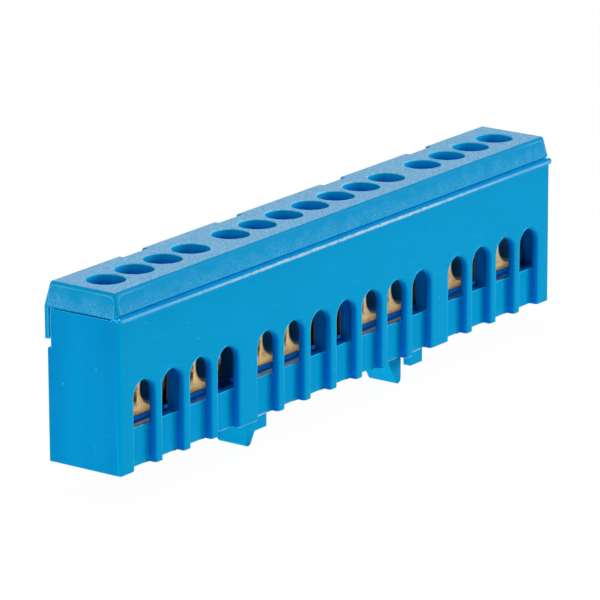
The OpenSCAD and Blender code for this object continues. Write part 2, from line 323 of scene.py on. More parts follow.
@dataclass(frozen=True)
class FlashAndPaintedHighlight:
    """A ragged pale line that stands for mould flash together with the painted highlight it catches; the rims
    of the wells use it for a painted highlight alone.
    """

    name: str = "polyamide_bead_flash_and_painted_highlight"
    colour: str = "#88B2C6"
    thin: str = "#54B4D8"
    clear: str = "#2CA8DA"
    roughness: float = 0.3
    gloss: float = 0.2
    ragged_mm: float = 0.6
    ragged_noise: Span = (0.3, 0.6)
    full_mm: float = 18.0
    thin_mm: float = 44.0
    least: float = 0.22
    line_mm: Optional[float] = None
    half_mm: float = 0.06
    tear_mm: float = 0.19
    border_mm: Span = (-0.03, 0.05)
    torn_share: float = 0.95

    def torn(self, tree: Tree, up: Source, share: Source) -> Node:
        """Tears the edges of the pale line: wider or narrower than a straight line, most where it is
        strongest.

        Args:
            tree: the node tree.
            up: height.
            share: how strong the pale line is.

        Returns:
            The strength of the pale line that is left after the tearing.
        """
        off = add_node(tree, Kind.MATH, MINUS, {1: self.line_mm * MM}, {0: up})
        rise = add_node(tree, Kind.MATH, SIZE, links={0: off})
        spare = add_node(tree, Kind.MATH, TIMES, {1: self.tear_mm * MM}, {0: share})
        width = add_node(tree, Kind.MATH, PLUS, {1: self.half_mm * MM}, {0: spare})
        left = add_node(tree, Kind.MATH, MINUS, links={0: width, 1: rise})
        low, high = self.border_mm
        return add_node(tree, Kind.RANGE,
                        values={"From Min": low * MM, "From Max": high * MM, "To Max": self.torn_share},
                        links={"Value": left})

    def build(self) -> bpy.types.Material:
        """Builds the material.

        Returns:
            The finished material.
        """
        material, tree, shader = new_material(
            self.name, {"Roughness": self.roughness, "Specular IOR Level": self.gloss})
        place = add_node(tree, Kind.COORDINATES).outputs["Object"]
        spot = add_node(tree, Kind.SPLIT, links={0: place})
        ragged = add_node(tree, Kind.NOISE, values={"Scale": repeat(self.ragged_mm), "Detail": 4.0},
                          links={"Vector": place})
        low, high = self.ragged_noise
        pale = add_node(tree, Kind.RANGE, values={"From Min": low, "From Max": high}, links={"Value": ragged})
        # The pale line is strongest in the middle of the length and fainter towards the ends
        away = add_node(tree, Kind.MATH, SIZE, links={0: spot.outputs["X"]})
        full = add_node(tree, Kind.RANGE,
                        values={"From Min": self.thin_mm * MM, "From Max": self.full_mm * MM,
                                "To Min": self.least}, links={"Value": away})
        share = add_node(tree, Kind.MATH, TIMES, links={0: pale, 1: full})
        if self.line_mm is not None:
            share = self.torn(tree, spot.outputs["Z"], share)
        body = add_node(tree, Kind.MIX, RGBA, {MIX_FROM: linear(self.thin), MIX_TO: linear(self.colour)},
                        {MIX_SHARE: full})
        tint = add_node(tree, Kind.MIX, RGBA, {MIX_FROM: linear(self.clear)},
                        {MIX_SHARE: share, MIX_TO: body})
        feed(tree, shader, {"Base Color": tint})
        return material


@dataclass(frozen=True)
class WellWall:
    """Wall round a screwdriver well, with painted light at the rim and painted shade in deep blue further
    down.
    """

    name: str = "polyamide_well_wall_painted_light_and_shade"
    rim: str = "#00C4FF"
    deep: str = "#0060E8"
    rim_mm: float = 31.8
    deep_mm: float = 29.9
    roughness: float = 0.4
    gloss: float = 0.05
    cloud_mm: float = 1.4
    waver_mm: float = 0.5

    def build(self) -> bpy.types.Material:
        """Builds the material.

        Returns:
            The finished material.
        """
        material, tree, shader = new_material(
            self.name, {"Roughness": self.roughness, "Specular IOR Level": self.gloss})
        place = add_node(tree, Kind.COORDINATES).outputs["Object"]
        spot = add_node(tree, Kind.SPLIT, links={0: place})
        cloud = add_node(tree, Kind.NOISE, values={"Scale": repeat(self.cloud_mm)}, links={"Vector": place})
        # The border between the painted light and the painted shade wavers by a fraction of a millimetre
        height = add_node(tree, Kind.MATH, TIMES_PLUS, {1: self.waver_mm * MM, 2: -0.5 * self.waver_mm * MM},
                          {0: cloud})
        wavy = add_node(tree, Kind.MATH, PLUS, links={0: spot.outputs["Z"], 1: height})
        share = add_node(tree, Kind.RANGE, {"interpolation_type": "SMOOTHSTEP"},
                         {"From Min": self.rim_mm * MM, "From Max": self.deep_mm * MM}, {"Value": wavy})
        tint = add_node(tree, Kind.MIX, RGBA, {MIX_FROM: linear(self.rim), MIX_TO: linear(self.deep)},
                        {MIX_SHARE: share})
        feed(tree, shader, {"Base Color": tint})
        return material


@dataclass(frozen=True)
class CapSides:
    """Two opposite sides of the cap as a finish reads them.

    Attributes:
        turned: part of the normal along the axis that the sides face.
        along: place along the sides.
        out: place along the axis that they face.
        half_mm: half of the length of their panels.
        reach_mm: distance of the sides from the middle of the cap.
    """

    turned: Source
    along: Source
    out: Source
    half_mm: float
    reach_mm: float


@dataclass(frozen=True)
class GrainedPolyamide:
    """Polyamide with panels of spark-eroded grain between smooth rounded edges, with painted sheen in the
    grain, painted highlight lines at the panels' corners and painted light on the foot of the front.
    """

    name: str = "moulded_polyamide_grained"
    colour: str = "#008EC2"
    # The pale colour stands for the painted sheen of the grain
    pale: str = "#5CAED8"
    # Colour of the painted highlight lines at the corners of the panels
    line: str = "#8CCBE8"
    # Colour of the painted light on the foot of the front
    foot_painted_light: str = "#10C4FF"
    roughness: float = 0.34
    grain_roughness: float = 0.55
    gloss: float = 0.04
    grain_mm: float = 0.22
    grain_noise: Span = (0.38, 0.72)
    grain_share: float = 0.75
    grain_height_mm: float = 0.05
    grain_strength: float = 0.5
    patch_mm: float = 3.0
    patch_noise: Span = (0.3, 0.75)
    fade: Span = (-0.36, 0.34)
    least: float = 0.0
    low_mm: float = 28.4
    top_mm: float = 31.95
    margin_mm: float = 0.5
    corner_mm: float = 1.1
    line_mm: float = 0.07
    line_share: float = 0.48
    line_fade_mm: Span = (8.0, 2.0)
    half_length_mm: float = 53.35
    half_depth_mm: float = 5.8
    middle_mm: float = 0.29
    reach_slack_mm: float = 0.1
    level: float = 0.97
    upright: float = 0.95
    forward: float = -0.5
    seam_mm: Span = (29.0, 28.75)

    def panel(self, tree: Tree, along: Source, up: Source, half_mm: float) -> Node:
        """Measures how far a point lies outside a grain panel with two rounded upper corners.

        Args:
            tree: the node tree.
            along: distance along the face from the middle of the panel.
            up: height.
            half_mm: half of the panel's length.

        Returns:
            The signed distance in metres, negative inside the panel.
        """
        wide = add_node(tree, Kind.MATH, SIZE, links={0: along})
        past_x = add_node(tree, Kind.MATH, MINUS, {1: (half_mm - self.corner_mm) * MM}, {0: wide})
        corner_z_mm = self.top_mm - self.margin_mm - self.corner_mm
        past_z = add_node(tree, Kind.MATH, MINUS, {1: corner_z_mm * MM}, {0: up})
        both = add_node(tree, Kind.JOIN, links={0: past_x, 1: past_z})
        over = add_node(tree, Kind.VECTOR_MATH, LARGER, links={0: both})
        far = add_node(tree, Kind.VECTOR_MATH, LENGTH, links={0: over})
        most = add_node(tree, Kind.MATH, LARGER, links={0: past_x, 1: past_z})
        inner = add_node(tree, Kind.MATH, {"operation": "MINIMUM"}, {1: 0.0}, {0: most})
        total = add_node(tree, Kind.MATH, PLUS, links={0: far, 1: inner})
        return add_node(tree, Kind.MATH, MINUS, {1: self.corner_mm * MM}, {0: total})

    def sides(self, tree: Tree, pair: CapSides, up: Source, above: Source) -> Tuple[Node, Node]:
        """Marks the grain panels on two opposite sides of the cap, and the painted highlight lines at their
        corners.

        Args:
            tree: the node tree.
            pair: the two sides.
            up: height.
            above: 1 on the cap, 0 below it.

        Returns:
            A node that is 1 inside a panel, and one that gives the strength of a painted highlight line.
        """
        straight = add_node(tree, Kind.MATH, SIZE, links={0: pair.turned})
        flat = add_node(tree, Kind.MATH, ABOVE, {1: self.upright}, {0: straight})
        out = add_node(tree, Kind.MATH, SIZE, links={0: pair.out})
        outer = add_node(tree, Kind.MATH, ABOVE, {1: (pair.reach_mm - self.reach_slack_mm) * MM}, {0: out})
        face = add_node(tree, Kind.MATH, TIMES, links={0: flat, 1: outer})
        side = add_node(tree, Kind.MATH, TIMES, links={0: face, 1: above})
        gap = self.panel(tree, pair.along, up, pair.half_mm)
        inside = add_node(tree, Kind.MATH, BELOW, {1: 0.0}, {0: gap})
        grained = add_node(tree, Kind.MATH, TIMES, links={0: inside, 1: side})
        size = add_node(tree, Kind.MATH, SIZE, links={0: gap})
        rim = add_node(tree, Kind.RANGE,
                       values={"From Min": self.line_mm * MM, "From Max": 0.0, "To Max": self.line_share},
                       links={"Value": size})
        far = add_node(tree, Kind.MATH, SIZE, links={0: pair.along})
        start_mm, full_mm = (pair.half_mm - short_mm for short_mm in self.line_fade_mm)
        corner = add_node(tree, Kind.RANGE, values={"From Min": start_mm * MM, "From Max": full_mm * MM},
                          links={"Value": far})
        shown = add_node(tree, Kind.MATH, TIMES, links={0: rim, 1: corner})
        return grained, add_node(tree, Kind.MATH, TIMES, links={0: shown, 1: side})

    def worn(self, tree: Tree, place: Source, up: Source) -> Node:
        """Tells where handling has left the grain: it is rubbed clear in patches, most of all high up.

        Args:
            tree: the node tree.
            place: object coordinates.
            up: height.

        Returns:
            A node that gives the share of the grain that is left.
        """
        patch = add_node(tree, Kind.NOISE, values={"Scale": repeat(self.patch_mm), "Detail": 3.0},
                         links={"Vector": place})
        high, low = self.fade
        fade = add_node(tree, Kind.RANGE,
                        values={"From Min": self.top_mm * MM, "From Max": self.low_mm * MM,
                                "To Min": high, "To Max": low}, links={"Value": up})
        both = add_node(tree, Kind.MATH, PLUS, links={0: patch, 1: fade})
        clear, whole = self.patch_noise
        return add_node(tree, Kind.RANGE,
                        values={"From Min": clear, "From Max": whole, "To Min": self.least, "To Max": 1.0},
                        links={"Value": both})

    def build(self) -> bpy.types.Material:
        """Builds the material.

        Returns:
            The finished material.
        """
        material, tree, shader = new_material(self.name, {"Specular IOR Level": self.gloss})
        place = add_node(tree, Kind.COORDINATES).outputs["Object"]
        x, y, z = add_node(tree, Kind.SPLIT, links={0: place}).outputs
        normal = add_node(tree, Kind.GEOMETRY).outputs["True Normal"]
        facing_x, facing_y, facing_z = add_node(tree, Kind.SPLIT, links={0: normal}).outputs
        depth = add_node(tree, Kind.MATH, MINUS, {1: self.middle_mm * MM}, {0: y})
        above = add_node(tree, Kind.MATH, ABOVE, {1: self.low_mm * MM}, {0: z})
        # Grain lies on the top and on a panel of each side
        top = add_node(tree, Kind.MATH, ABOVE, {1: self.level}, {0: facing_z})
        grained = add_node(tree, Kind.MATH, TIMES, links={0: above, 1: top})
        long_sides = CapSides(facing_y, x, depth, self.half_length_mm, self.half_depth_mm)
        ends = CapSides(facing_x, depth, x, self.half_depth_mm, self.half_length_mm)
        lines = []
        for pair in (long_sides, ends):
            panel, line = self.sides(tree, pair, z, above)
            grained = add_node(tree, Kind.MATH, LARGER, links={0: grained, 1: panel})
            lines.append(line)
        edged = add_node(tree, Kind.MATH, LARGER, links={0: lines[0], 1: lines[1]})
        # The real grain is about a tenth of a millimetre, drawn coarser so that it shows
        grain = add_node(tree, Kind.NOISE, values={"Scale": repeat(self.grain_mm), "Detail": 3.0},
                         links={"Vector": place})
        low, high = self.grain_noise
        spread = add_node(tree, Kind.RANGE,
                          values={"From Min": low, "From Max": high, "To Max": self.grain_share},
                          links={"Value": grain})
        strong = add_node(tree, Kind.MATH, TIMES, links={0: spread, 1: self.worn(tree, place, z)})
        share = add_node(tree, Kind.MATH, TIMES, links={0: strong, 1: grained})
        # Painted sheen: the grain is mixed towards the pale colour
        tint = add_node(tree, Kind.MIX, RGBA, {MIX_FROM: linear(self.colour), MIX_TO: linear(self.pale)},
                        {MIX_SHARE: share})
        # Painted highlight lines at the corners of the panels
        lined = add_node(tree, Kind.MIX, RGBA, {MIX_TO: linear(self.line)},
                         {MIX_SHARE: edged, MIX_FROM: tint})
        # Painted light on the foot of the front, which lifts the shade of the groove under it
        begin_mm, full_mm = self.seam_mm
        foot = add_node(tree, Kind.RANGE, values={"From Min": begin_mm * MM, "From Max": full_mm * MM},
                        links={"Value": z})
        front = add_node(tree, Kind.MATH, BELOW, {1: self.forward}, {0: facing_y})
        thin = add_node(tree, Kind.MATH, TIMES, links={0: foot, 1: front})
        foot_lit = add_node(tree, Kind.MIX, RGBA, {MIX_TO: linear(self.foot_painted_light)},
                          {MIX_SHARE: thin, MIX_FROM: lined})
        rough = add_node(tree, Kind.RANGE, values={"To Min": self.roughness, "To Max": self.grain_roughness},
                         links={"Value": grained})
        height = add_node(tree, Kind.MATH, TIMES, links={0: grain, 1: grained})
        bump = add_node(tree, Kind.BUMP,
                        values={"Strength": self.grain_strength, "Distance": self.grain_height_mm * MM},
                        links={"Height": height})
        feed(tree, shader, {"Base Color": foot_lit, "Roughness": rough, "Normal": bump})
        return material


@dataclass(frozen=True)
class DrawnMetal:
    """A metal with fine marks along X from drawing, which blur its shine, and darker stained patches."""

    name: str
    colour: str
    stain: str
    roughness: float
    roughness_spread: Span = (0.08, 0.12)
    mark_mm: float = 0.15
    mark_scale: Point = (0.08, 1.0, 1.0)
    mark_height_mm: float = 0.02
    mark_strength: float = 0.35
    patch_mm: float = 1.6
    grit_mm: float = 0.28
    stain_noise: Span = (0.18, 0.4)
    stain_share: float = 0.8
    metallic: float = 1.0

    def tint(self, tree: Tree, place: Source) -> Node:
        """Adds the nodes of the stained colour.

        Args:
            tree: the node tree.
            place: object coordinates.

        Returns:
            The node that gives the colour.
        """
        patch = add_node(tree, Kind.NOISE, values={"Scale": repeat(self.patch_mm), "Detail": 4.0},
                         links={"Vector": place})
        grit = add_node(tree, Kind.NOISE, values={"Scale": repeat(self.grit_mm), "Detail": 3.0},
                        links={"Vector": place})
        both = add_node(tree, Kind.MATH, TIMES, links={0: patch, 1: grit})
        low, high = self.stain_noise
        stain = add_node(tree, Kind.RANGE,
                         values={"From Min": low, "From Max": high, "To Max": self.stain_share},
                         links={"Value": both})
        return add_node(tree, Kind.MIX, RGBA, {MIX_FROM: linear(self.colour), MIX_TO: linear(self.stain)},
                        {MIX_SHARE: stain})

    def build(self) -> bpy.types.Material:
        """Builds the material.

        Returns:
            The finished material.
        """
        material, tree, shader = new_material(self.name, {"Metallic": self.metallic})
        place = add_node(tree, Kind.COORDINATES).outputs["Object"]
        stretched = add_node(tree, Kind.MAPPING, values={"Scale": self.mark_scale}, links={"Vector": place})
        marks = add_node(tree, Kind.NOISE, values={"Scale": repeat(self.mark_mm), "Detail": 2.0},
                         links={"Vector": stretched})
        less, more = self.roughness_spread
        rough = add_node(tree, Kind.RANGE,
                         values={"To Min": self.roughness - less, "To Max": self.roughness + more},
                         links={"Value": marks})
        bump = add_node(tree, Kind.BUMP,
                        values={"Strength": self.mark_strength, "Distance": self.mark_height_mm * MM},
                        links={"Height": marks})
        feed(tree, shader, {"Base Color": self.tint(tree, place), "Roughness": rough, "Normal": bump})
        return material


@dataclass(frozen=True)
class BoredBrass(DrawnMetal):
    """Drawn brass with orange rims round the bores, painted shade as a dark streak between each two of them,
    and a painted reflection between the groups.
    """

    # Colour of the painted shade
    painted_shade: str = "#2E1D10"
    # Colour of the painted reflection between the groups
    painted_reflection: str = "#8CB0BC"
    burr: str = "#C4803F"
    # Places of the bores: pitch, first bore of an outer group, border between groups, axis and radius
    pitch_mm: float = 6.5
    outer_mm: float = 29.0
    border_mm: float = 24.25
    group_half_mm: float = 1.9
    axis_mm: float = 15.45
    bore_mm: float = 2.5
    ragged_mm: float = 0.5
    streak_wander_mm: float = 0.9
    streak_edge_mm: Span = (0.2, -0.15)
    streak_start_mm: float = -0.9
    streak_foot_mm: Span = (-2.6, -1.4)
    streak_share: float = 0.9
    burr_mm: Span = (0.75, 0.1)
    burr_noise: Span = (0.45, 0.62)
    burr_share: float = 0.9
    shaded_mm: Tuple[float, ...] = ()
    shade_half_mm: float = 0.95
    shade_core: float = 0.9
    shade_share: float = 0.93

    def shifted(self, tree: Tree, x: Source, size: Source) -> Node:
        """Shifts the outer groups of bores, so that the places of all bores are multiples of the pitch.

        Args:
            tree: the node tree.
            x: place along the bar.
            size: distance from the middle of the bar.

        Returns:
            The shifted place.
        """
        outer = add_node(tree, Kind.MATH, ABOVE, {1: self.border_mm * MM}, {0: size})
        side = add_node(tree, Kind.MATH, {"operation": "SIGN"}, links={0: x})
        turn = add_node(tree, Kind.MATH, TIMES, links={0: outer, 1: side})
        return add_node(tree, Kind.MATH, TIMES_PLUS, {1: -self.outer_mm * MM}, {0: turn, 2: x})

    def streaks(self, tree: Tree, shift: Source, rise: Source, ragged: Source, between: Source) -> Node:
        """Draws the painted shade as dark streaks, each from the right edge of a bore to halfway to the next
        one.

        Args:
            tree: the node tree.
            shift: shifted place along the bar.
            rise: height over the axis of the bores.
            ragged: the noise that wears the edges.
            between: 1 between two groups, where no bore stands and so no streak either.

        Returns:
            The strength of the streaks.
        """
        past = add_node(tree, Kind.MATH, {"operation": "FLOORED_MODULO"}, {1: self.pitch_mm * MM}, {0: shift})
        wander = add_node(tree, Kind.MATH, TIMES_PLUS, {1: self.streak_wander_mm * MM}, {0: ragged, 2: past})
        none_mm, full_mm = (0.5 * self.pitch_mm + edge_mm for edge_mm in self.streak_edge_mm)
        ahead = add_node(tree, Kind.RANGE,
                         values={"From Min": none_mm * MM, "From Max": full_mm * MM,
                                 "To Max": self.streak_share}, links={"Value": wander})
        begun = add_node(tree, Kind.MATH, ABOVE, {1: (self.bore_mm + self.streak_start_mm) * MM}, {0: past})
        low_mm, high_mm = self.streak_foot_mm
        upper = add_node(tree, Kind.RANGE, values={"From Min": low_mm * MM, "From Max": high_mm * MM},
                         links={"Value": rise})
        strip = add_node(tree, Kind.MATH, TIMES, links={0: ahead, 1: begun})
        bored = add_node(tree, Kind.MATH, MINUS, {0: 1.0}, {1: between})
        kept = add_node(tree, Kind.MATH, TIMES, links={0: upper, 1: bored})
        return add_node(tree, Kind.MATH, TIMES, links={0: strip, 1: kept})

    def burrs(self, tree: Tree, shift: Source, rise: Source, ragged: Source) -> Node:
        """Draws the orange rims round the bores.

        Args:
            tree: the node tree.
            shift: shifted place along the bar.
            rise: height over the axis of the bores.
            ragged: the noise that breaks the rims.

        Returns:
            The strength of the rims.
        """
        near = add_node(tree, Kind.MATH, {"operation": "PINGPONG"}, {1: 0.5 * self.pitch_mm * MM}, {0: shift})
        flat = add_node(tree, Kind.JOIN, links={0: near, 1: rise})
        reach = add_node(tree, Kind.VECTOR_MATH, LENGTH, links={0: flat})
        none_mm, full_mm = (self.bore_mm + wide_mm for wide_mm in self.burr_mm)
        close = add_node(tree, Kind.RANGE, values={"From Min": none_mm * MM, "From Max": full_mm * MM},
                         links={"Value": reach})
        low, high = self.burr_noise
        rim_share = add_node(tree, Kind.RANGE,
                         values={"From Min": low, "From Max": high, "To Max": self.burr_share},
                         links={"Value": ragged})
        return add_node(tree, Kind.MATH, TIMES, links={0: close, 1: rim_share})

    def tint(self, tree: Tree, place: Source) -> Node:
        """Adds the nodes of the colour: stained, orange round the bores, with painted shade and a painted
        reflection.

        Args:
            tree: the node tree.
            place: object coordinates.

        Returns:
            The node that gives the colour.
        """
        plain = super().tint(tree, place)
        x, _, z = add_node(tree, Kind.SPLIT, links={0: place}).outputs
        size = add_node(tree, Kind.MATH, SIZE, links={0: x})
        shift = self.shifted(tree, x, size)
        rise = add_node(tree, Kind.MATH, MINUS, {1: self.axis_mm * MM}, {0: z})
        ragged = add_node(tree, Kind.NOISE, values={"Scale": repeat(self.ragged_mm), "Detail": 4.0},
                          links={"Vector": place})
        between = add_node(tree, Kind.MATH, {"operation": "COMPARE"},
                           {1: self.border_mm * MM, 2: self.group_half_mm * MM}, {0: size})
        painted_dark = self.streaks(tree, shift, rise, ragged, between)
        # Painted shade beside a partition, where the bar lies in the partition's shade
        for middle_mm in self.shaded_mm:
            off = add_node(tree, Kind.MATH, MINUS, {1: middle_mm * MM}, {0: x})
            gap = add_node(tree, Kind.MATH, SIZE, links={0: off})
            half = self.shade_half_mm * MM
            shade = add_node(tree, Kind.RANGE,
                             values={"From Min": half, "From Max": self.shade_core * half,
                                     "To Max": self.shade_share}, links={"Value": gap})
            painted_dark = add_node(tree, Kind.MATH, LARGER, links={0: painted_dark, 1: shade})
        warm = add_node(tree, Kind.MIX, RGBA, {MIX_TO: linear(self.burr)},
                        {MIX_SHARE: self.burrs(tree, shift, rise, ragged), MIX_FROM: plain})
        # Painted reflection: between two groups the bar takes the blue of the wide pillar in front of it
        cool = add_node(tree, Kind.MIX, RGBA, {MIX_TO: linear(self.painted_reflection)},
                        {MIX_SHARE: between, MIX_FROM: warm})
        return add_node(tree, Kind.MIX, RGBA, {MIX_TO: linear(self.painted_shade)},
                        {MIX_SHARE: painted_dark, MIX_FROM: cool})


@dataclass
class SoftenedCopy:
    """A merged copy of a CAD node whose sharp edges are rounded as on the real piece."""

    node: str
    name: str
    soften_mm: float
    segments: int = 2
    merge_mm: float = 0.012
    sharp_deg: float = 30.0
    crease_deg: float = 35.0
    stray_share: float = 0.7
    rounded: List[bmesh.types.BMFace] = field(default_factory=list)

    def mesh(self) -> bmesh.types.BMesh:
        """Copies the node, merges it and rounds its edges.

        Returns:
            The rounded mesh.
        """
        bm = bmesh.new()
        bm.from_mesh(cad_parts[self.node].data)
        bmesh.ops.remove_doubles(bm, verts=bm.verts, dist=self.merge_mm * MM)
        skin = BVHTree.FromBMesh(bm)
        low, high = ([pick(v.co[axis] for v in bm.verts) for axis in range(3)] for pick in (min, max))
        sharp = [e for e in bm.edges if e.is_manifold and e.calc_face_angle() > math.radians(self.sharp_deg)]
        done = bmesh.ops.bevel(bm, geom=sharp, offset=self.soften_mm * MM, offset_type="OFFSET",
                               segments=self.segments, profile=0.5, affect="EDGES", clamp_overlap=False,
                               material=-1, loop_slide=True)
        self.rounded = [face for face in done["faces"] if face.is_valid]
        # A rounding that ends at a crowded corner can throw a point off the skin, so it is laid back on it
        for vert in bm.verts:
            near, _, _, gap = skin.find_nearest(vert.co)
            if gap > self.stray_share * self.soften_mm * MM:
                vert.co = near
            vert.co = Vector(max(a, min(b, c)) for a, b, c in zip(low, high, vert.co))
        for face in bm.faces:
            face.smooth = True
        for edge in bm.edges:
            edge.smooth = not edge.is_manifold or edge.calc_face_angle() < math.radians(self.crease_deg)
        return bm

    def place(self, bm: bmesh.types.BMesh, slot: Slot, materials: Iterable[bpy.types.Material]) -> None:
        """Makes the piece from a mesh and lets it stand for the node.

        Args:
            bm: the finished mesh, which is freed.
            slot: the record's material slot; not used.
            materials: the piece's materials, in the order of their indices.
        """
        mesh = bpy.data.meshes.new(self.name)
        bm.to_mesh(mesh)
        bm.free()
        piece = bpy.data.objects.new(self.name, mesh)
        bpy.context.scene.collection.objects.link(piece)
        for material in materials:
            mesh.materials.append(material)
        level = piece.modifiers.new("flat_faces", "WEIGHTED_NORMAL")
        level.keep_sharp = True
        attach(piece, Body.BLOCK.value)
        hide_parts(self.node)
        LOG.info("%s: %d faces", piece.name, len(mesh.polygons))


@dataclass
class Housing:
    """The housing: an arcade front under a bead, a chamber for the bar, end walls, rail hooks and tabs."""

    moulding: SoftenedCopy = field(default_factory=lambda: SoftenedCopy("housing", "housing_moulding", 0.12))
    # The bead: middle of its round, its radius, how far faces may lie off it, and where its zones part
    bead_y_mm: float = -6.43
    bead_z_mm: float = 28.1
    bead_r_mm: float = 0.5
    bead_slack_mm: float = 0.08
    bead_low_mm: float = -0.45
    bead_under_deg: float = -32.0
    bead_crown_deg: float = 38.0
    bead_back_deg: float = 100.0
    flash_highlight_rise_mm: float = 0.03
    # The front, its round slot edges and the panels behind them
    eaves_mm: float = 1.0
    front_mm: float = -6.47
    slot_round_mm: float = 0.6
    panel_mm: float = -5.12
    panel_slack_mm: float = 0.12
    # Lower edge of the windows, and the foot with its seam
    lip_mm: float = 11.3
    lip_depth_mm: float = 1.4
    foot_mm: float = 5.55
    seam_mm: float = 0.14
    seam_reach_mm: Span = (11.0, 31.4)
    slack_mm: float = 0.15
    # The chamber, its end walls, the rebate for the skirt and the underside of the bar
    chamber_x_mm: float = 51.5
    chamber_y_mm: Span = (-5.0, 5.0)
    end_wall_mm: float = 2.0
    rebate_mm: float = 22.25
    bar_mm: float = 11.55
    # Terminals whose lower window edge gets painted light in plain blue, while at the others it gets a
    # painted reflection of the metal
    blue_lips: Tuple[int, ...] = (2, 4, 7, 8, 11, 12, 13, 15)
    # How much of a face's normal lies along an axis, from a slight turn to almost all of it
    hint: float = 0.08
    lean: float = 0.2
    tip: float = 0.3
    slope: float = 0.5
    flank: float = 0.6
    square: float = 0.9

    def bead_zone(self, angle: float) -> Zone:
        """Tells the zone on the bead, by the angle in degrees from its foremost line up and back."""
        if angle > self.bead_crown_deg:
            return Zone.GROOVE if angle > self.bead_back_deg else Zone.END
        return Zone.FLASH if angle > self.bead_under_deg else Zone.OUTSIDE

    def lip_zone(self, x: float, tilt: float, terminals: List[float]) -> Zone:
        """Tells the zone on the lower edge of a window.

        Args:
            x: place along the housing in millimetres.
            tilt: upward part of the face's normal.
            terminals: places of the terminals along X in millimetres.

        Returns:
            The zone of the face.
        """
        if tilt < self.square:
            return Zone.EDGE
        number = 1 + min(range(len(terminals)), key=lambda i: abs(terminals[i] - x))
        return Zone.SHELF if number in self.blue_lips else Zone.LIP

    def end_zone(self, spot: Vector, way: Vector, rounded: bool) -> Zone:
        """Tells the zone on an end wall.

        Args:
            spot: middle of the face in millimetres.
            way: normal of the face.
            rounded: whether it is part of an edge rounding.

        Returns:
            The zone of the face.
        """
        front, back = self.chamber_y_mm
        if way.x * spot.x < 0.0 and front < spot.y < back:
            return Zone.SHELF
        if rounded and way.y > self.lean and spot.z > self.rebate_mm:
            return Zone.GROOVE
        if abs(way.x) > self.lean and way.y < -self.lean:
            return Zone.CORNER
        return Zone.END if abs(way.x) > self.square else Zone.OUTSIDE

    def zone(self, face: bmesh.types.BMFace, rounded: bool, terminals: List[float]) -> Zone:
        """Tells which zone a face of the housing belongs to.

        Args:
            face: a face of the housing.
            rounded: whether it is part of an edge rounding.
            terminals: places of the terminals along X in millimetres.

        Returns:
            Its zone.
        """
        spot, way = face.calc_center_median() / MM, face.normal
        across, up = spot.y - self.bead_y_mm, spot.z - self.bead_z_mm
        if abs(math.hypot(across, up) - self.bead_r_mm) < self.bead_slack_mm and up > self.bead_low_mm:
            return self.bead_zone(math.degrees(math.atan2(up, -across)))
        if spot.z > CAP_SEAT_MM - self.eaves_mm and way.z > (self.lean if rounded else self.slope):
            return Zone.EDGE if rounded else Zone.GROOVE
        if spot.z < self.foot_mm - self.slack_mm:
            return Zone.FOOT if way.x < -self.tip or way.z < -self.slope else Zone.OUTSIDE
        forward = way.y < -self.lean
        if rounded and spot.z < self.foot_mm + self.seam_mm:
            low, high = self.seam_reach_mm
            marked = forward and spot.y < self.panel_mm + self.panel_slack_mm and low < abs(spot.x) < high
            return Zone.SEAM if marked else Zone.OUTSIDE
        on_lip = abs(spot.z - self.lip_mm) < self.slack_mm and spot.y < self.panel_mm + self.lip_depth_mm
        if on_lip and way.z > self.lean:
            return self.lip_zone(spot.x, way.z, terminals)
        if forward and spot.z < self.bead_z_mm - self.eaves_mm:
            arch = spot.z > self.lip_mm and spot.y < self.front_mm + self.slot_round_mm
            if arch and abs(spot.x) < self.chamber_x_mm + self.end_wall_mm and way.x > self.hint:
                return Zone.EDGE
            if rounded and spot.y < self.front_mm + self.slack_mm:
                return Zone.OUTSIDE
        if abs(spot.x) > self.chamber_x_mm:
            return self.end_zone(spot, way, rounded)
        front, back = self.chamber_y_mm
        if front < spot.y < back and (way.z > -self.slope or spot.z > self.lip_mm):
            low = spot.z < self.bar_mm and (way.z > self.slope or way.y < -self.slope)
            return Zone.FLOOR if low else Zone.INSIDE
        return Zone.INSIDE if abs(way.x) > self.flank and spot.y < front else Zone.OUTSIDE

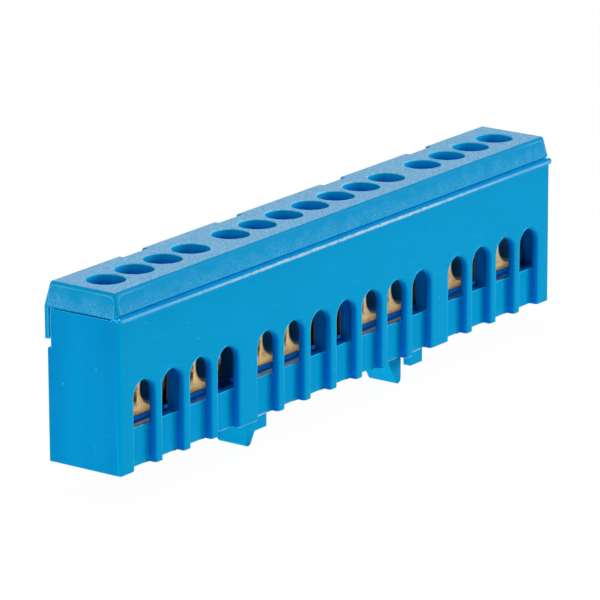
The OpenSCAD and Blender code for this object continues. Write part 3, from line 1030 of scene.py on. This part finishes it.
    def finishes(self) -> Dict[Zone, Union[SatinPolyamide, FlashAndPaintedHighlight]]:
        """Lists the finish of each zone: painted light makes lit places lighter, and painted shade makes
        places deep inside deeper blue.
        """
        return {
            Zone.OUTSIDE: SatinPolyamide(),
            # Painted shade: a deeper blue in the chamber and on the side walls of the slots
            Zone.INSIDE: SatinPolyamide("moulded_polyamide_chamber_painted_shade", "#007AD2", "#0074CA", dust="#2A90D0"),
            # Painted shade: a deeper blue on the floor of the chamber under the bar
            Zone.FLOOR: SatinPolyamide("moulded_polyamide_floor_painted_shade", "#007AE0", "#0074D8"),
            # Painted reflection of the brass on the lower edge of the windows
            Zone.LIP: SatinPolyamide("moulded_polyamide_lip_painted_reflection", "#4C92D2", "#5E98D0", roughness=0.4,
                                     gloss=0.22),
            # Painted light: the hooks and tabs are lighter, as if lit from below
            Zone.FOOT: SatinPolyamide("moulded_polyamide_foot_painted_light", "#00B4E2", "#00AEDC"),
            # Painted highlight on the rounded edges of the arches, the window lips and the top of the wall
            Zone.EDGE: SatinPolyamide("moulded_polyamide_edge_painted_highlight", "#24C0F0", "#1CB8EA", gloss=0.05),
            # Painted light: a lighter blue in the groove under the cap and on the faces round it that lie in
            # shade
            Zone.GROOVE: SatinPolyamide("moulded_polyamide_groove_painted_light", "#40D0FF", "#38C8FF"),
            # The pale line along the bead: mould flash and a painted highlight
            Zone.FLASH: FlashAndPaintedHighlight(colour="#A2C0CC", clear="#008CC4",
                                   line_mm=self.bead_z_mm + self.flash_highlight_rise_mm),
            # Painted shade: a darker blue on the end walls, in vertical bands, and on the top of the bead
            Zone.END: SatinPolyamide("moulded_polyamide_end_painted_shade", "#0076B4", "#009AD4", flow_mm=6.0,
                                     flow_scale=(1.0, 1.0, 0.15)),
            # Painted light: a lighter blue on the rounded front corners of the end walls
            Zone.CORNER: SatinPolyamide("moulded_polyamide_corner_painted_light", "#009EDA", "#0098D4"),
            # Painted light: a lighter blue on the shaded lower edges of some windows and on the inner faces
            # of the end walls
            Zone.SHELF: SatinPolyamide("moulded_polyamide_shelf_painted_light", "#0090FF", "#008AF6"),
            # Pale lines at the feet: mould flash and a painted highlight
            Zone.SEAM: FlashAndPaintedHighlight("polyamide_foot_seam_flash_and_painted_highlight"),
        }

    def build(self) -> None:
        """Builds and dresses the housing."""
        terminals = terminal_places()
        bm = self.moulding.mesh()
        rounded = set(self.moulding.rounded)
        for face in bm.faces:
            face.material_index = self.zone(face, face in rounded, terminals).value
        finishes = self.finishes()
        self.moulding.place(bm, Slot.HOUSING, [finishes[zone].build() for zone in Zone])


@dataclass
class Cover:
    """The cover: a bevelled cap with a row of screwdriver wells, and a skirt at the back."""

    moulding: SoftenedCopy = field(default_factory=lambda: SoftenedCopy("cover", "cover_moulding", 0.08))
    top_mm: float = 31.95
    top_slack_mm: float = 0.05
    skirt_mm: float = 5.6
    foot_slack_mm: float = 0.12
    well_y_mm: float = 0.23
    well_r_mm: float = 2.85
    rim_width_mm: float = 0.35
    rim_depth_mm: float = 0.3
    # How much of a face's normal lies along an axis
    lean: float = 0.2
    level: float = 0.97

    def skin(self, face: bmesh.types.BMFace, terminals: List[float]) -> Skin:
        """Tells which region a face of the cover belongs to.

        Args:
            face: a face of the cover.
            terminals: places of the terminals along X in millimetres.

        Returns:
            Its region.
        """
        spot, way = face.calc_center_median() / MM, face.normal
        if way.z > self.level and spot.z > self.top_mm - self.top_slack_mm:
            return Skin.TOP
        reach = min(math.hypot(spot.x - x, spot.y - self.well_y_mm) for x in terminals)
        if reach < self.well_r_mm + self.rim_width_mm:
            return Skin.RIM if spot.z > self.top_mm - self.rim_depth_mm and way.z > self.lean else Skin.WELL
        turned = way.z < -self.lean or way.y < -self.lean and spot.y > self.skirt_mm
        return Skin.UNDER if turned and spot.z < CAP_SEAT_MM + self.foot_slack_mm else Skin.SIDE

    @staticmethod
    def finishes() -> Dict[Skin, Union[SatinPolyamide, GrainedPolyamide, FlashAndPaintedHighlight, WellWall]]:
        """Lists the finish of each region."""
        return {
            Skin.SIDE: GrainedPolyamide(),
            # Painted sheen: the grain on the top is mixed towards near white
            Skin.TOP: GrainedPolyamide("moulded_polyamide_grained_top_painted_sheen", "#0099CE", "#CFE2F4", gloss=0.5,
                                       least=0.9),
            # Painted highlight on the rims of the wells
            Skin.RIM: FlashAndPaintedHighlight("polyamide_well_rim_painted_highlight", "#8CD4F0", "#8CD4F0", "#4CBCE8"),
            Skin.WELL: WellWall(),
            # Painted light: a lighter blue on the undersides of the cap, which lie in shade
            Skin.UNDER: SatinPolyamide("moulded_polyamide_underside_painted_light", "#40D0FF", "#38C8FF"),
        }

    def build(self) -> None:
        """Builds and dresses the cover."""
        terminals = terminal_places()
        bm = self.moulding.mesh()
        for face in bm.faces:
            face.material_index = self.skin(face, terminals).value
        finishes = self.finishes()
        self.moulding.place(bm, Slot.COVER, [finishes[skin].build() for skin in Skin])


@dataclass
class Metalwork:
    """The brass bar and the clamp screws."""

    bar: SoftenedCopy = field(default_factory=lambda: SoftenedCopy("bus_bar", "bus_bar_drawn", 0.1))
    bar_y_mm: Span = (-2.77, 3.23)
    face_slack_mm: float = 0.08
    axis_mm: float = 15.45
    bore_mm: float = 2.5
    bore_slack_mm: float = 0.1
    # Terminals with a partition, and how far to the right of their bores the bar gets painted shade
    partitions: Tuple[int, ...] = (2, 7, 8, 11, 13)
    shade_mm: float = 3.2

    def metal(self, face: bmesh.types.BMFace, terminals: List[float]) -> Metal:
        """Tells whether a face of the bar is drawn or lies in a bore.

        Args:
            face: a face of the bar.
            terminals: places of the terminals along X in millimetres.

        Returns:
            Its region.
        """
        spot = face.calc_center_median() / MM
        front, back = self.bar_y_mm
        within = front + self.face_slack_mm < spot.y < back - self.face_slack_mm
        reach = min(math.hypot(spot.x - x, spot.z - self.axis_mm) for x in terminals)
        return Metal.DRILLED if within and reach < self.bore_mm + self.bore_slack_mm else Metal.DRAWN

    def build(self) -> None:
        """Dresses the bar and the screws."""
        terminals = terminal_places()
        shaded = tuple(terminals[number - 1] + self.shade_mm for number in self.partitions)
        brass = BoredBrass("drawn_brass_painted_shade_and_reflection", "#E0C28A", "#A97B45", 0.36, axis_mm=self.axis_mm,
                           bore_mm=self.bore_mm, shaded_mm=shaded).build()
        # Painted reflection: the bores take the blue of the chamber round them
        drilled = DrawnMetal("drilled_brass_painted_reflection", "#4A9CC8", "#3C86B0", 0.5, metallic=0.2).build()
        bm = self.bar.mesh()
        for face in bm.faces:
            face.material_index = self.metal(face, terminals).value
        self.bar.place(bm, Slot.BUS_BAR, [brass, drilled])
        zinc = DrawnMetal("zinc_plated_steel", "#B2B4B8", "#84878B", 0.38).build()
        for name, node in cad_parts.items():
            if name.startswith("screw"):
                node.data.materials.clear()
                node.data.materials.append(zinc)
                LOG.info("dressed %s", name)


@dataclass(frozen=True)
class Lamp:
    """One soft rectangular lamp, placed in metres, with its power in watts."""

    name: str
    place: Point
    aim: Point
    width: float
    height: float
    power: float

    def build(self) -> None:
        """Hangs the lamp."""
        data = bpy.data.lights.new(self.name, "AREA")
        data.shape = "RECTANGLE"
        data.size = self.width
        data.size_y = self.height
        data.energy = self.power
        lamp = bpy.data.objects.new(self.name, data)
        lamp.location = self.place
        lamp.rotation_euler = (Vector(self.aim) - Vector(self.place)).to_track_quat("-Z", "Y").to_euler()
        bpy.context.scene.collection.objects.link(lamp)


@dataclass
class Studio:
    """White studio, lamps and the camera of the portrait."""

    lens_mm: float = 293.184
    sensor_mm: float = 36.0
    clip_m: Span = (0.01, 20.0)
    eye_mm: Point = (-561.675, -409.261, 220.274)
    turn_deg: Point = (73.72222, 0.23641, -53.84748)
    ambient: float = 0.04
    floor_half_m: float = 2.0
    floor_white: float = 0.95
    paper: Colour = (0.9, 0.9, 0.9, 1.0)
    table: float = 0.46
    lamps: List[Lamp] = field(default_factory=lambda: [
        Lamp("key", (0.75, -0.95, 0.35), (0.0, 0.0, 0.02), 0.7, 0.5, 8.9),
        Lamp("fill", (-0.95, 0.45, 0.06), (0.0, 0.0, 0.01), 0.6, 0.12, 3.5),
        Lamp("overhead", (-0.3, -0.08, 1.0), (0.0, 0.0, 0.0), 0.5, 0.5, 7.2),
    ])

    def camera(self) -> None:
        """Adds the camera."""
        data = bpy.data.cameras.new("camera")
        data.lens = self.lens_mm
        data.sensor_width = self.sensor_mm
        data.sensor_fit = "HORIZONTAL"
        data.clip_start, data.clip_end = self.clip_m
        camera = bpy.data.objects.new("camera", data)
        turn = Euler([math.radians(angle) for angle in self.turn_deg]).to_matrix().to_4x4()
        camera.matrix_world = Matrix.Translation(Vector(self.eye_mm) * MM) @ turn
        bpy.context.scene.collection.objects.link(camera)
        bpy.context.scene.camera = camera

    @staticmethod
    def seen_white(tree: Tree) -> Node:
        """Adds the test for rays that should see plain white.

        Args:
            tree: the node tree of the world or the floor.

        Returns:
            A node that is 1 for a ray from the camera, from gloss or through glass.
        """
        path = add_node(tree, Kind.LIGHT_PATH)
        pair = add_node(tree, Kind.MATH, LARGER,
                        links={0: path.outputs["Is Camera Ray"], 1: path.outputs["Is Transmission Ray"]})
        return add_node(tree, Kind.MATH, LARGER, links={0: pair, 1: path.outputs["Is Glossy Ray"]})

    def world(self) -> None:
        """Makes the world: white to the eye and to gloss, and an even soft light for the rest."""
        world = bpy.data.worlds.new("studio")
        world.use_nodes = True
        tree = world.node_tree
        tree.nodes.clear()
        soft = add_node(tree, Kind.BACKGROUND, values={"Color": WHITE, "Strength": self.ambient})
        white = add_node(tree, Kind.BACKGROUND, values={"Color": WHITE, "Strength": 1.0})
        mix = add_node(tree, Kind.MIX_SHADER, links={0: self.seen_white(tree), 1: soft, 2: white})
        add_node(tree, Kind.WORLD, links={"Surface": mix})
        bpy.context.scene.world = world

    def card(self) -> bpy.types.Material:
        """Makes the floor's white card, which is almost all white to the eye and to gloss, and which glows
        like a light table to light the block from below.

        Returns:
            The finished material.
        """
        material = bpy.data.materials.new("white_card")
        material.use_nodes = True
        tree = material.node_tree
        tree.nodes.clear()
        paper = add_node(tree, Kind.DIFFUSE, values={"Color": self.paper})
        lit = add_node(tree, Kind.EMISSION, values={"Strength": self.table})
        card = add_node(tree, Kind.ADD_SHADER, links={0: paper, 1: lit})
        glow = add_node(tree, Kind.EMISSION, values={"Strength": 1.0})
        share = add_node(tree, Kind.MATH, TIMES, {1: self.floor_white}, {0: self.seen_white(tree)})
        mix = add_node(tree, Kind.MIX_SHADER, links={0: share, 1: card, 2: glow})
        add_node(tree, Kind.SURFACE, links={"Surface": mix})
        return material

    def floor(self) -> None:
        """Lays the white floor, which keeps a faint shadow of the block."""
        mesh = bpy.data.meshes.new("floor")
        bm = bmesh.new()
        bmesh.ops.create_grid(bm, x_segments=1, y_segments=1, size=self.floor_half_m)
        bm.to_mesh(mesh)
        bm.free()
        floor = bpy.data.objects.new("floor", mesh)
        bpy.context.scene.collection.objects.link(floor)
        mesh.materials.append(self.card())

    def build(self) -> None:
        """Builds the studio."""
        self.camera()
        self.world()
        self.floor()
        for lamp in self.lamps:
            lamp.build()
        bpy.context.scene.view_settings.view_transform = "Standard"
        LOG.info("studio with %d lamps", len(self.lamps))


def main() -> None:
    """Builds the studio, the housing, the cover and the metalwork."""
    logging.basicConfig(level=logging.INFO, format="%(name)s: %(message)s")
    Studio().build()
    Housing().build()
    Cover().build()
    Metalwork().build()


if __name__ == "__main__":
    main()
